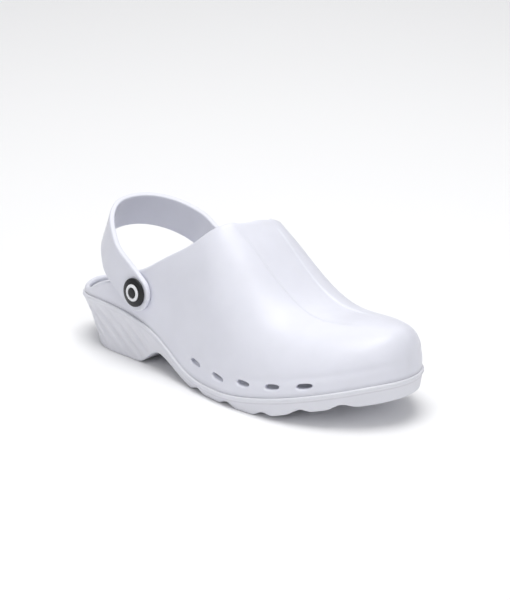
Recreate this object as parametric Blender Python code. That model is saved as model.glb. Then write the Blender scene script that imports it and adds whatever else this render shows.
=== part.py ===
"""Right-foot moulded clog: hollow upper, sole, footbed, heel strap and the buttons it swings on.

Metres, +X to the toe, +Y to the inner side of the foot, +Z up. The tables hold shares of named sizes.
"way" is the share of the way along either side of the ledge, from the back of the heel to the toe tip.
"""
import math

import bpy
import bmesh
import numpy as np
from mathutils import Vector

# Driving sizes
LENGTH = 0.272             # back of the heel to the toe tip, along the sole's ledge
BALL_WIDTH = 0.102         # across the ledge at the ball
INSTEP_HEIGHT = 0.0897     # front of the collar above the ledge
HEEL_STEP = 0.0350         # ledge above the floor under the heel
BALL_STEP = 0.0080         # ledge above the floor under the ball
TOE_STEP = 0.0300          # ledge above the floor at the toe tip
TOE_SPRING = 0.0180        # underside above the floor at the toe tip
ARCH_RISE = 0.0115         # underside above the floor at its arch
GAP = 0.0003               # between pieces that meet
WALL = 0.0035              # moulded wall of the upper
LEDGE = 0.0013             # sole proud of the upper, all round
BAND_WIDTH = 0.0290        # sunk band down the middle of the vamp
BAND_DEPTH = 0.0012
BEAD_HEIGHT = 0.0030       # rim along the top of the sole's side
BEAD_PROUD = 0.0007
EDGE_ROUND = 0.0012        # lower edge of the sole
HEEL_TAPER = 0.0055        # how far the heel draws in from ledge to floor
FLUTE_DEPTH = 0.0008
FLUTE_PITCH = 0.0140
FLUTE_SLANT = 1.2          # back per length down
LUG_DEPTH = 0.0024
LUG_GROOVE = 0.0110        # width of a groove between lugs
SEAT_DEPTH = 0.0035        # sunk seat of the footbed in the sole
HEEL_CUP = 0.0025          # extra hollow of that seat under the heel
INSOLE_THICK = 0.0040
INSOLE_CLEAR = 0.0006
INSOLE_TOE_CLEAR = 0.0045  # footbed stops this much shorter under the toe's sloping wall
SLOT_LENGTH = 0.0105       # vents
SLOT_HEIGHT = 0.0040
SLOT_LIFT = 0.0090         # first vent's centre above the ledge
STRAP_WIDTH = 0.0235
STRAP_THICK = 0.0034
STRAP_REACH = 0.0569       # outer pivot to the inside of the strap's back
STRAP_BULGE = 0.0037       # outer arm bowed outward
STRAP_BULGE_INNER = 0.0053
STRAP_RISE = math.radians(36.2)   # slope of the outer arm at its pivot
STRAP_RISE_INNER = math.radians(27.8)
STRAP_BACK = math.radians(20.0)   # slope round the back
PIVOT_LIFT = 0.0190        # pivot above the ledge, outer side
PIVOT_LIFT_INNER = 0.0340  # the same, inner side
CAP_RADIUS = 0.0094
CAP_RIM = 0.0020
CAP_DOME = 0.0014
SHANK_RADIUS = 0.0040
BACK_RADIUS = 0.0080
BACK_THICK = 0.0020
INLAY_OUTER = 0.0056
INLAY_INNER = 0.0036
INLAY_DEPTH = 0.0009

# Ledge seen from above, round from the back of the heel by the outer side:
# (share of LENGTH, share of BALL_WIDTH)
OUTLINE = (
    (0.000, 0.000), (0.026, -0.170), (0.100, -0.300), (0.225, -0.350), (0.375, -0.395),
    (0.532, -0.500), (0.669, -0.540), (0.795, -0.510), (0.900, -0.390), (0.971, -0.215),
    (1.000, 0.000), (0.976, 0.205), (0.903, 0.370), (0.795, 0.450), (0.669, 0.470),
    (0.513, 0.400), (0.375, 0.335), (0.225, 0.325), (0.100, 0.295), (0.026, 0.170),
)
TOE_ROW = 10

# Ledge from the side: (share of LENGTH, share of HEEL_STEP - BALL_STEP, share of TOE_STEP - BALL_STEP)
LEDGE_RISE = (
    (0.000, 0.83, 0.00), (0.040, 0.89, 0.00), (0.100, 0.97, 0.00), (0.165, 1.00, 0.00),
    (0.225, 0.95, 0.00), (0.275, 0.86, 0.00), (0.320, 0.73, 0.00), (0.360, 0.56, 0.00),
    (0.400, 0.36, 0.00), (0.450, 0.14, 0.00),
    (0.500, 0.03, 0.00), (0.550, 0.00, 0.00), (0.600, 0.00, 0.00), (0.690, 0.00, 0.14),
    (0.760, 0.00, 0.32), (0.825, 0.00, 0.51), (0.880, 0.00, 0.68), (0.925, 0.00, 0.82),
    (0.965, 0.00, 0.94), (1.000, 0.00, 1.00),
)
# Underside from the side: (share of LENGTH, share of ARCH_RISE, share of TOE_SPRING)
UNDERSIDE = (
    (0.000, 0.00, 0.00), (0.258, 0.00, 0.00), (0.280, 0.20, 0.00), (0.305, 0.65, 0.00),
    (0.335, 1.00, 0.00), (0.355, 0.95, 0.00), (0.390, 0.66, 0.00), (0.430, 0.30, 0.00),
    (0.470, 0.05, 0.00), (0.500, 0.00, 0.00), (0.690, 0.00, 0.00), (0.730, 0.00, 0.06),
    (0.790, 0.00, 0.31), (0.853, 0.00, 0.57), (0.908, 0.00, 0.76), (0.956, 0.00, 0.88),
    (1.000, 0.00, 1.00),
)
# Inward draw of the sole's side, ledge to floor: (share of LENGTH, share of HEEL_TAPER)
SIDE_DRAW = (
    (0.000, 2.70), (0.040, 2.20), (0.100, 1.30), (0.200, 0.95), (0.320, 0.70), (0.500, 0.45), (1.000, 0.40),
)
FLUTE_END = (0.20, 0.28)                       # the flutes die out between these shares of LENGTH
GROOVES = (0.505, 0.615, 0.725, 0.820, 0.908)  # grooves between the lugs, shares of LENGTH

# Upper across the foot: (way, arch height as share of INSTEP_HEIGHT, fullness of the sides,
# apex shift to the inner side as share of BALL_WIDTH)
SECTIONS = (
    (0.000, 0.69, 2.3, 0.000), (0.170, 0.89, 2.4, 0.000), (0.320, 1.09, 2.5, 0.020),
    (0.430, 1.13, 2.6, 0.060), (0.480, 1.110, 2.8, 0.068), (0.521, 1.010, 2.8, 0.070),
    (0.550, 0.925, 2.7, 0.072), (0.590, 0.783, 2.6, 0.075), (0.630, 0.648, 2.5, 0.076),
    (0.687, 0.507, 2.5, 0.070), (0.746, 0.436, 2.5, 0.062), (0.804, 0.400, 2.4, 0.054),
    (0.863, 0.358, 2.3, 0.045), (0.931, 0.264, 2.1, 0.025), (1.000, 0.000, 2.0, 0.000),
)
# Collar edge above the ledge, up to where it leaves the quarter and arcs over to the ridge:
# (way, share of INSTEP_HEIGHT on the outer side, the same on the inner side)
TOPLINE = (
    (0.000, 0.027, 0.027), (0.050, 0.018, 0.018), (0.090, 0.020, 0.020), (0.130, 0.045, 0.045),
    (0.165, 0.097, 0.097), (0.215, 0.163, 0.163), (0.265, 0.276, 0.276), (0.316, 0.411, 0.405),
    (0.368, 0.602, 0.580), (0.425, 0.823, 0.775), (0.455, 0.948, 0.862),
)
QUARTER_WAY = 0.455
COLLAR_WAY = 0.508
COLLAR_FOOT_WAY = 0.60                         # foot of the mesh row that ends at the collar's front
# Vents: (way, share of SLOT_LIFT)
VENTS = ((0.486, 1.15), (0.561, 0.93), (0.632, 0.90), (0.706, 0.74), (0.778, 0.66))
BAND_FADE = (0.700, 0.830)                     # the band dies out between these ways
PIVOT_WAY = 0.294
PIVOT_WAY_INNER = 0.335
HEEL_SEAT_START = (0.00, 0.05)                 # the heel's extra hollow begins between these ways
HEEL_SEAT_FADE = (0.15, 0.40)                  # the heel's extra hollow dies out between these ways
INSOLE_TOE_FADE = (0.75, 1.00)
STRAP_FULLNESS = 1.60                          # roundness of the loop seen from above, outer half
STRAP_FULLNESS_INNER = 1.89
STRAP_FLAT = (0.24, 0.70)                      # outer arm: flat on the quarter, then free, shares of its length
STRAP_FLAT_INNER = (0.14, 0.42)

# Mesh density
COLLAR_STEPS = 22
VAMP_STEPS = 18
RISE_STEPS = 9
ACROSS_STEPS = 6
SOLE_ROWS = 39
INSOLE_ROWS = 27
ROW_SWEEP = 1.5                                # how late the upper's rows turn to their collar point
SAMPLES = 800                                  # points along a line that is walked by its length
OUTER, INNER = -1, 1                           # sides of the foot along Y


def smooth_curve(places, values):
    """Natural cubic through rows of values at rising places, straight on past its ends."""
    x = np.asarray(places, float)
    y = np.asarray(values, float).reshape(len(x), -1)
    step = np.diff(x)
    count = len(x)
    lhs = np.eye(count)
    rhs = np.zeros_like(y)
    for i in range(1, count - 1):
        lhs[i, i - 1:i + 2] = step[i - 1], 2 * (step[i - 1] + step[i]), step[i]
        rhs[i] = 6 * ((y[i + 1] - y[i]) / step[i] - (y[i] - y[i - 1]) / step[i - 1])
    bend = np.linalg.solve(lhs, rhs)

    def at(place):
        s = np.clip(np.atleast_1d(np.asarray(place, float)), x[0], x[-1])
        k = np.clip(np.searchsorted(x, s, side="right") - 1, 0, count - 2)
        h = step[k][:, None]
        a = (x[k + 1] - s)[:, None] / h
        b = 1.0 - a
        line = a * y[k] + b * y[k + 1]
        return line + ((a ** 3 - a) * bend[k] + (b ** 3 - b) * bend[k + 1]) * h * h / 6

    return at


def table_curve(rows):
    """Curve through a table whose first column is the place."""
    return smooth_curve([row[0] for row in rows], [row[1:] for row in rows])


def ease(value, start, end):
    """0 before start, 1 after end, smooth between."""
    t = np.clip((value - start) / (end - start), 0.0, 1.0)
    return t * t * (3 - 2 * t)


def side_lines():
    """The ledge's two sides, each a function of way that gives points (x, y)."""
    points = np.array(OUTLINE) * (LENGTH, BALL_WIDTH)
    lap = 3
    loop = np.vstack([points[-lap:], points, points[:lap + 1]])
    chord = np.concatenate([[0.0], np.cumsum(np.linalg.norm(np.diff(loop, axis=0), axis=1))])
    curve = smooth_curve(chord, loop)
    toe = chord[lap + TOE_ROW]

    def side(start):
        line = curve(np.linspace(start, toe, SAMPLES))
        length = np.concatenate([[0.0], np.cumsum(np.linalg.norm(np.diff(line, axis=0), axis=1))])
        share = length / length[-1]
        return lambda way: np.column_stack([np.interp(way, share, line[:, k]) for k in (0, 1)])

    return {OUTER: side(chord[lap]), INNER: side(chord[lap + len(points)])}


LINES = side_lines()
ledge_shares = table_curve(LEDGE_RISE)
underside_shares = table_curve(UNDERSIDE)
draw_share = table_curve(SIDE_DRAW)
section_shape = table_curve(SECTIONS)
topline_share = table_curve(TOPLINE)


def ledge_height(x):
    """Height of the ledge above the floor."""
    heel, toe = ledge_shares(x / LENGTH).T
    return BALL_STEP + (HEEL_STEP - BALL_STEP) * heel + (TOE_STEP - BALL_STEP) * toe


def edge(side, way, inset):
    """Points (x, y) of the ledge line, moved inward in plan by inset."""
    way = np.atleast_1d(way)
    point = LINES[side](way)
    nudge = 1e-3
    along = LINES[side](np.minimum(way + nudge, 1.0)) - LINES[side](np.maximum(way - nudge, 0.0))
    ends = np.column_stack([np.zeros(len(way)), np.where(way < 0.5, 1.0, -1.0) * side])
    at_end = (way < nudge) | (way > 1 - nudge)
    along = np.where(at_end[:, None], ends, along)
    along /= np.linalg.norm(along, axis=1)[:, None]
    outward = side * np.column_stack([-along[:, 1], along[:, 0]])
    return point - outward * np.reshape(inset, (-1, 1))


def arch_height(way):
    """Height of the upper's arch over the ledge, with or without the collar cut out of it."""
    return INSTEP_HEIGHT * section_shape(way)[:, 0]


def upper_surface(side, way, rise):
    """Outer face of the upper. rise runs from 0 at the foot line to 1 on the ridge."""
    way, rise = np.broadcast_arrays(np.atleast_1d(way), rise)
    shape = way.shape
    way, rise = way.ravel(), rise.ravel()
    height, full, shift = section_shape(way).T
    outer = edge(OUTER, way, LEDGE)
    inner = edge(INNER, way, LEDGE)
    foot = [outer, inner][side == INNER]
    angle = rise * math.pi / 2
    half = np.cos(angle) ** (2 / full)
    up = np.sin(angle) ** (2 / full)
    middle = (outer + inner) / 2
    plan = middle + (foot - middle) * half[:, None]
    plan[:, 1] += shift * BALL_WIDTH * up
    low = ledge_height(foot[:, 0]) + GAP
    centre_low = (ledge_height(outer[:, 0]) + ledge_height(inner[:, 0])) / 2 + GAP
    z = low * half + centre_low * (1 - half) + INSTEP_HEIGHT * height * up
    z -= BAND_DEPTH * ease(rise, BAND_EDGE[0], BAND_EDGE[1]) * (1 - ease(way, *BAND_FADE))
    return np.column_stack([plan, z]).reshape(shape + (3,))


def band_rise(half_width):
    """Rise at which the upper lies half_width from its ridge, at the ball."""
    full = section_shape(BAND_FADE[0])[0, 1]
    return math.acos((half_width / (BALL_WIDTH / 2)) ** (full / 2)) * 2 / math.pi


BAND_EDGE = (band_rise(BAND_WIDTH / 2 + BAND_DEPTH / 2), band_rise(BAND_WIDTH / 2 - BAND_DEPTH))


def topline_rise(side, way):
    """Rise of the collar edge along the quarter."""
    share = topline_share(way)[:, 0 if side == OUTER else 1]
    full = section_shape(way)[:, 1]
    return np.arcsin((INSTEP_HEIGHT * share / arch_height(way)) ** (full / 2)) * 2 / math.pi


def collar_path(side, count):
    """Ways and rises of points spaced evenly along the collar edge, back of the heel to the ridge."""
    quarter = np.linspace(0, QUARTER_WAY, SAMPLES)
    quarter_rise = topline_rise(side, quarter)
    aside = np.cos(quarter_rise * math.pi / 2) ** (2 / section_shape(quarter)[:, 1])
    slope = (aside[-2] - aside[-1]) / (quarter[-1] - quarter[-2])
    reach = COLLAR_WAY - QUARTER_WAY
    left = np.linspace(1, 0, SAMPLES)[1:]
    arc = COLLAR_WAY - reach * left ** (aside[-1] / (slope * reach))
    arc_rise = np.arccos((aside[-1] * left) ** (section_shape(arc)[:, 1] / 2)) * 2 / math.pi
    way, rise = np.append(quarter, arc), np.append(quarter_rise, arc_rise)
    line = upper_surface(side, way, rise)
    length = np.concatenate([[0.0], np.cumsum(np.linalg.norm(np.diff(line, axis=0), axis=1))])
    even = np.linspace(0, length[-1], count + 1)
    return np.interp(even, length, way), np.interp(even, length, rise)


def half_upper(side, collar_steps, vamp_steps, rises):
    """Grid of points over one half of the upper: rows go round the shoe, columns go up."""
    collar_ways, collar_rises = collar_path(side, collar_steps)
    top_way = np.concatenate([collar_ways, np.linspace(COLLAR_WAY, 1.0, vamp_steps + 1)[1:]])
    top_rise = np.concatenate([collar_rises, np.ones(vamp_steps)])
    foot_way = np.concatenate([np.linspace(0, COLLAR_FOOT_WAY, collar_steps + 1),
                               np.linspace(COLLAR_FOOT_WAY, 1.0, vamp_steps + 1)[1:]])
    way = foot_way[:, None] + (top_way - foot_way)[:, None] * rises[None, :] ** ROW_SWEEP
    rise = top_rise[:, None] * rises[None, :]
    return upper_surface(side, way, rise)


def add_grid(mesh, points):
    """Quads over a grid of points; returns the grid of vertices."""
    verts = [[mesh.verts.new(p) for p in row] for row in points]
    for low, high in zip(verts, verts[1:]):
        for i in range(len(low) - 1):
            mesh.faces.new((low[i], low[i + 1], high[i + 1], high[i]))
    return verts


def weld(mesh):
    """Join vertices that lie on one place, such as the two halves along the ridge."""
    bmesh.ops.remove_doubles(mesh, verts=mesh.verts, dist=1e-6)
    bmesh.ops.recalc_face_normals(mesh, faces=mesh.faces)


def thicken(mesh, wall, on_foot):
    """Turn an open surface into a wall: inner skin, flat foot rim and a round lip elsewhere."""
    mesh.normal_update()
    skin = list(mesh.verts)
    faces = list(mesh.faces)
    rims = [e for e in mesh.edges if e.is_boundary]
    normal = {}
    for v in skin:
        n = v.normal.copy()
        if on_foot(v.co):
            n.z = 0.0
        normal[v] = n.normalized()
    inside = {v: mesh.verts.new(v.co - normal[v] * wall) for v in skin}
    away = {}
    for e in rims:
        a, b = e.verts
        middle = e.link_faces[0].calc_center_median()
        for v in (a, b):
            out = (b.co - a.co).cross(normal[v])
            out *= 1 if out.dot(v.co - middle) > 0 else -1
            away[v] = away.get(v, Vector()) + out.normalized()
    lip = {}
    for v in away:
        if on_foot(v.co):
            continue
        centre = v.co - normal[v] * wall / 2
        out = away[v].normalized()
        lip[v] = [mesh.verts.new(centre + (normal[v] * math.cos(a) + out * math.sin(a)) * wall / 2)
                  for a in (math.pi / 4, math.pi / 2, 3 * math.pi / 4)]
    for f in faces:
        mesh.faces.new([inside[v] for v in reversed(f.verts)])
    for e in rims:
        a, b = e.verts
        strip = [[v, *lip.get(v, []), inside[v]] for v in (a, b)]
        for i in range(len(strip[0]) - 1):
            mesh.faces.new((strip[0][i], strip[0][i + 1], strip[1][i + 1], strip[1][i]))


def new_object(name, mesh, material=None):
    """Blender object from a bmesh, shaded smooth up to sharp edges."""
    data = bpy.data.meshes.new(name)
    mesh.to_mesh(data)
    mesh.free()
    data.shade_smooth()
    data.set_sharp_from_angle(angle=math.radians(40))
    piece = bpy.data.objects.new(name, data)
    bpy.context.scene.collection.objects.link(piece)
    if material:
        data.materials.append(material)
    return piece


def plastic(name, colour, roughness):
    """Moulded plastic."""
    material = bpy.data.materials.new(name)
    material.use_nodes = True
    shader = material.node_tree.nodes["Principled BSDF"]
    shader.inputs["Base Color"].default_value = (*colour, 1.0)
    shader.inputs["Roughness"].default_value = roughness
    shader.inputs["Metallic"].default_value = 0.0
    return material


def make_upper(material):
    """Hollow shell with a closed toe, open at the collar and underneath."""
    rises = np.concatenate([np.linspace(0, BAND_EDGE[0], RISE_STEPS + 1), [BAND_EDGE[1]],
                            np.linspace(BAND_EDGE[1], 1.0, 3)[1:]])
    mesh = bmesh.new()
    for side in (OUTER, INNER):
        add_grid(mesh, half_upper(side, COLLAR_STEPS, VAMP_STEPS, rises))
    weld(mesh)
    thicken(mesh, WALL, lambda p: p.z < ledge_height(np.array([p.x]))[0] + 2 * GAP)
    weld(mesh)
    bmesh.ops.triangulate(mesh, faces=mesh.faces[:])
    return new_object("upper", mesh, material)


def sole_ways():
    """Ways of the sole's cross rows: even ones, and three or more in each groove."""
    fine = np.linspace(0, 1, SAMPLES)
    x = (LINES[OUTER](fine)[:, 0] + LINES[INNER](fine)[:, 0]) / 2
    marks = np.linspace(0, 1, SOLE_ROWS)
    half = LUG_GROOVE / 2
    apart = 0.006
    for groove in GROOVES:
        around = np.interp(groove * LENGTH + np.array([-half, -half / 2, 0, half / 2, half]), x, fine)
        marks = marks[(marks < around[0] - apart) | (marks > around[-1] + apart)]
        marks = np.sort(np.concatenate([marks, around]))
    return marks


def underside_height(x):
    """Height of the sole's underside, with the grooves between its lugs."""
    arch, toe = underside_shares(x / LENGTH).T
    z = np.maximum(ARCH_RISE * arch + TOE_SPRING * toe, 0.0)
    for groove in GROOVES:
        near = np.clip(np.abs(x - groove * LENGTH) / (LUG_GROOVE / 2), 0.0, 1.0)
        z += LUG_DEPTH * np.cos(near * math.pi / 2) ** 2
    return z


def sole_side(side, way):
    """Rings of the sole's side at each way, underside first: array (way, ring, 3)."""
    top = LINES[side](way)
    high = ledge_height(top[:, 0])
    draw = HEEL_TAPER * draw_share(top[:, 0] / LENGTH)[:, 0]
    low = underside_height(edge(side, way, draw)[:, 0])
    rings = [(low, draw + EDGE_ROUND), (low + EDGE_ROUND, draw)]
    below = high - BEAD_HEIGHT
    for share in (0.25, 0.5, 0.75):
        z = low + EDGE_ROUND + (below - low - EDGE_ROUND) * share
        phase = (top[:, 0] - (high - z) * FLUTE_SLANT) / FLUTE_PITCH
        fade = math.sin(share * math.pi) * (1 - ease(top[:, 0] / LENGTH, *FLUTE_END))
        flute = FLUTE_DEPTH * fade * (0.5 + 0.5 * np.cos(phase * 2 * math.pi))
        rings.append((z, draw * (1 - share) + BEAD_PROUD * share + flute))
    rings += [(below, np.full(len(way), BEAD_PROUD)), (below + BEAD_PROUD, np.zeros(len(way))),
              (high - BEAD_PROUD, np.zeros(len(way))), (high, np.full(len(way), BEAD_PROUD))]
    return np.stack([np.column_stack([edge(side, way, inset), z]) for z, inset in rings], axis=1)


def across(left, right, steps):
    """Rows from left to right points: array (way, column, 3), and each column's share."""
    share = np.linspace(0, 1, steps + 1)
    return left[:, None, :] + (right - left)[:, None, :] * share[None, :, None], share


def seat_surface(way, inset, lift):
    """Footbed seat from inset to inset, hollow under the heel, lifted by lift."""
    ends = [edge(side, way, inset) for side in (OUTER, INNER)]
    rows, share = across(*[np.column_stack([e, ledge_height(e[:, 0])]) for e in ends], ACROSS_STEPS)
    bowl = 1 - (2 * share - 1) ** 2
    heel = ease(way, *HEEL_SEAT_START) * (1 - ease(way, *HEEL_SEAT_FADE))
    rows[:, :, 2] += lift - SEAT_DEPTH - HEEL_CUP * heel[:, None] * bowl[None, :]
    return rows


def make_sole(material):
    """Outsole and heel in one, with its ledge, bead, flutes, arch, toe spring and lugs."""
    way = sole_ways()
    mesh = bmesh.new()
    rings = {side: sole_side(side, way) for side in (OUTER, INNER)}
    seat = seat_surface(way, LEDGE + WALL + GAP, 0.0)
    for side, column in ((OUTER, 0), (INNER, -1)):
        inner_ledge = seat[:, column].copy()
        inner_ledge[:, 2] = rings[side][:, -1, 2]
        skin = np.concatenate([rings[side], inner_ledge[:, None], seat[:, column][:, None]], axis=1)
        add_grid(mesh, skin)
    add_grid(mesh, seat)
    add_grid(mesh, across(rings[OUTER][:, 0], rings[INNER][:, 0], ACROSS_STEPS)[0])
    weld(mesh)
    return new_object("sole", mesh, material)


def make_insole(material):
    """Loose footbed that fills the seat inside the upper."""
    way = np.linspace(0, 1, INSOLE_ROWS)
    inset = LEDGE + WALL + INSOLE_CLEAR + (INSOLE_TOE_CLEAR - INSOLE_CLEAR) * ease(way, *INSOLE_TOE_FADE)
    inset += 2 * INSOLE_CLEAR * (1 - ease(way, 0.0, 0.1))
    mesh = bmesh.new()
    low = seat_surface(way, inset, GAP)
    high = seat_surface(way, inset + INSOLE_CLEAR, GAP + INSOLE_THICK)
    skins = [add_grid(mesh, low), add_grid(mesh, high)]
    for column in (0, -1):
        for i in range(len(way) - 1):
            mesh.faces.new((skins[0][i][column], skins[0][i + 1][column],
                            skins[1][i + 1][column], skins[1][i][column]))
    weld(mesh)
    return new_object("insole", mesh, material)


class Pivot:
    """Where a button passes through the quarter: a point on the wall and its outward axis."""

    def __init__(self, side):
        self.side = side
        way, lift = (PIVOT_WAY, PIVOT_LIFT) if side == OUTER else (PIVOT_WAY_INNER, PIVOT_LIFT_INNER)
        up = lift / arch_height([way])[0]
        full = section_shape(way)[0, 1]
        rise = math.asin(up ** (full / 2)) * 2 / math.pi
        step = 0.01
        span = np.array([way - step, way + step])
        along = np.diff(upper_surface(side, span, rise), axis=0)[0]
        climb = np.diff(upper_surface(side, [way] * 2, rise + np.array([-step, step])), axis=0)[0]
        normal = np.cross(along, climb) * -side
        self.axis = Vector(normal).normalized()
        self.point = Vector(upper_surface(side, [way], rise)[0])
        reach, count = 0.05, 15
        ways = np.linspace(way - reach, way + reach, count)
        rises = np.linspace(0.02, 2 * rise, count)
        around = upper_surface(side, ways[:, None], rises[None, :]).reshape(-1, 3) - self.point
        height = around @ np.array(self.axis)
        off_axis = np.linalg.norm(around - np.outer(height, self.axis), axis=1)
        self.proud = float(height[off_axis < STRAP_WIDTH / 2 + GAP].max())
        self.sunk = float(height[off_axis < BACK_RADIUS + GAP].min())

    def plane_y(self, x, z, lift):
        """y of the plane across the axis, lift above the pivot point, at (x, z)."""
        n, p = self.axis, self.point
        return p.y + (lift - (x - p.x) * n.x - (z - p.z) * n.z) / n.y

    def turned(self, name, profile, material, steps=20):
        """Solid turned round the axis from (radius, height) rows that close on themselves or on the axis."""
        mesh = bmesh.new()
        frame = self.axis.to_track_quat("Z", "Y").to_matrix()
        rows = []
        for k in range(steps + 1):
            a = 2 * math.pi * k / steps
            rows.append([self.point + frame @ Vector((r * math.cos(a), r * math.sin(a), h))
                         for r, h in profile])
        add_grid(mesh, rows)
        weld(mesh)
        return new_object(name, mesh, material)


def make_buttons(pivot, black, white):
    """Cap with its shank, the ring set in the cap and the back that holds the shank."""
    under = pivot.proud + GAP + STRAP_THICK + GAP
    rim = under + CAP_RIM
    back = pivot.sunk - WALL - GAP

    def face(radius):
        return rim + CAP_DOME * (1 - (radius / CAP_RADIUS) ** 2)

    groove = [(INLAY_OUTER + GAP, face(INLAY_OUTER + GAP)),
              (INLAY_OUTER + GAP, face(INLAY_OUTER) - INLAY_DEPTH),
              (INLAY_INNER - GAP, face(INLAY_OUTER) - INLAY_DEPTH),
              (INLAY_INNER - GAP, face(INLAY_INNER - GAP))]
    cap = [(0.0, back - BACK_THICK), (SHANK_RADIUS, back - BACK_THICK), (SHANK_RADIUS, under),
           (CAP_RADIUS, under), (CAP_RADIUS, rim - EDGE_ROUND / 2), (CAP_RADIUS - EDGE_ROUND / 2, rim + GAP),
           *[(r * CAP_RADIUS, face(r * CAP_RADIUS)) for r in (0.85, 0.7)], *groove, (0.0, face(0.0))]
    top = face(INLAY_INNER) + GAP
    floor = face(INLAY_OUTER) - INLAY_DEPTH + GAP
    ring = [(INLAY_OUTER, floor), (INLAY_OUTER, face(INLAY_OUTER) + GAP), (INLAY_INNER, top),
            (INLAY_INNER, floor), (INLAY_OUTER, floor)]
    hole = SHANK_RADIUS + GAP
    disc = [(hole, back), (BACK_RADIUS, back), (BACK_RADIUS, back - BACK_THICK / 2),
            (BACK_RADIUS - BACK_THICK / 2, back - BACK_THICK), (hole, back - BACK_THICK), (hole, back)]
    word = "lateral" if pivot.side == OUTER else "medial"
    pivot.turned("button_" + word, cap, black)
    pivot.turned("inlay_" + word, ring, white)
    pivot.turned("button_back_" + word, disc, black)


def strap_rows():
    """Cross rows of the strap: (half width, side, distance from the pivot or None, angle round the loop)."""
    radius = STRAP_WIDTH / 2
    rows = []
    for a in np.radians(np.linspace(-80, -15, 5)):
        rows.append((radius * math.cos(a), OUTER, radius * math.sin(a), 0.0))
    for a in np.radians(np.linspace(0, 90, 16)):
        rows.append((radius, OUTER, None, a))
    mirrored = [(half, INNER, d, a) for half, side, d, a in reversed(rows[:-1])]
    return rows + mirrored


class Arm:
    """One half of the strap, from its pivot to the middle of the back."""

    def __init__(self, pivot, half_span, shape, run):
        self.pivot, self.half_span = pivot, half_span
        self.rise, fullness, self.bulge, self.flat = shape
        self.power = 2 / fullness
        self.length = run / math.cos((self.rise + STRAP_BACK) / 2)

    def climb(self):
        """Height of the back's middle over the pivot, before the loop's lean."""
        return self.length * math.sin((self.rise + STRAP_BACK) / 2)

    def plan(self, angle):
        """Distance back along the arm, offset from the middle plane and outward direction."""
        c, s = max(math.cos(angle), 0.0), math.sin(angle)
        outward = Vector((c ** (2 - self.power) / self.half_span, s ** (2 - self.power) / self.length))
        aside = self.half_span * c ** self.power + self.bulge * math.sin(2 * angle)
        return self.length * s ** self.power, aside, outward.normalized()

    def side_view(self, distance):
        """How far back and up the arm's middle lies from its pivot, and its slope there."""
        slope = self.rise + (STRAP_BACK - self.rise) * max(distance, 0.0) / self.length
        mean = (self.rise + slope) / 2
        return distance * math.cos(mean), distance * math.sin(mean), slope


def make_strap(pivots, material):
    """U-shaped band: round flat ends on the buttons, then a loop round behind the heel."""
    outer, inner = pivots[OUTER].point, pivots[INNER].point
    middle_y = (outer.y + inner.y) / 2
    half_span = (inner.y - outer.y) / 2 + pivots[OUTER].proud + GAP
    run = STRAP_REACH * math.cos((STRAP_RISE + STRAP_BACK) / 2)
    arms = {OUTER: Arm(pivots[OUTER], half_span, (STRAP_RISE, STRAP_FULLNESS, STRAP_BULGE, STRAP_FLAT), run),
            INNER: Arm(pivots[INNER], half_span, (STRAP_RISE_INNER, STRAP_FULLNESS_INNER, STRAP_BULGE_INNER,
                                                  STRAP_FLAT_INNER), run + inner.x - outer.x)}
    lean = (inner.z + arms[INNER].climb() - outer.z - arms[OUTER].climb()) / (inner.y - outer.y)
    round_edge = STRAP_THICK * 0.3
    mesh = bmesh.new()
    grid = []
    for half, side, distance, angle in strap_rows():
        arm, pivot = arms[side], pivots[side]
        aside, outward = half_span, Vector((1.0, 0.0))
        if distance is None:
            distance, aside, outward = arm.plan(angle)
        free = float(ease(distance / arm.length, *arm.flat))
        row = []
        rim = max(half - round_edge, half * 0.5)
        for across_at, depth in ((-half, 0.5), (-rim, 0.0), (0.0, 0.0), (rim, 0.0), (half, 0.5),
                                 (rim, 1.0), (0.0, 1.0), (-rim, 1.0), (-half, 0.5)):
            lift = STRAP_THICK * depth
            back, up, slope = arm.side_view(distance + outward.y * lift)
            loop_y = middle_y + side * (aside + outward.x * lift)
            x = pivot.point.x - back + across_at * math.sin(slope)
            z = pivot.point.z + up + across_at * math.cos(slope)
            flat_y = pivot.plane_y(x, z, pivot.proud + GAP + lift)
            z += lean * (loop_y - pivot.point.y)
            row.append((x, loop_y * free + flat_y * (1 - free), z))
        grid.append(row)
    verts = add_grid(mesh, grid)
    for row in (verts[0], verts[-1]):
        mesh.faces.new(row[:-1])
    weld(mesh)
    return new_object("heel_strap", mesh, material)


def make_slot_cutter():
    """One mesh of round-ended bars that cut the vents on both sides."""
    mesh = bmesh.new()
    steps, nudge = 5, 0.01
    for side in (OUTER, INNER):
        for way, lift in VENTS:
            up = SLOT_LIFT * lift / arch_height([way])[0]
            rise = math.asin(up ** (section_shape(way)[0, 1] / 2)) * 2 / math.pi
            centre = Vector(upper_surface(side, [way], rise)[0])
            ends = upper_surface(side, [way - nudge, way + nudge], rise)
            along = Vector(ends[1] - ends[0]).normalized()
            out = Vector((along.y, -along.x, 0.0)).normalized() * -side
            up_axis = along.cross(out).normalized()
            straight = (SLOT_LENGTH - SLOT_HEIGHT) / 2
            ring = []
            for end in (1, -1):
                for k in range(steps):
                    a = math.pi * (k / (steps - 1) - 0.5)
                    u = end * (straight + SLOT_HEIGHT / 2 * math.cos(a))
                    ring.append((u, end * SLOT_HEIGHT / 2 * math.sin(a)))
            caps = [[mesh.verts.new(centre + along * u + up_axis * v + out * reach) for u, v in ring]
                    for reach in (-3 * WALL, 3 * WALL)]
            mesh.faces.new(caps[0])
            mesh.faces.new(caps[1][::-1])
            for i in range(len(ring)):
                mesh.faces.new((caps[0][i - 1], caps[0][i], caps[1][i], caps[1][i - 1]))
    bmesh.ops.recalc_face_normals(mesh, faces=mesh.faces)
    return new_object("vent_cutter", mesh)


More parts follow.
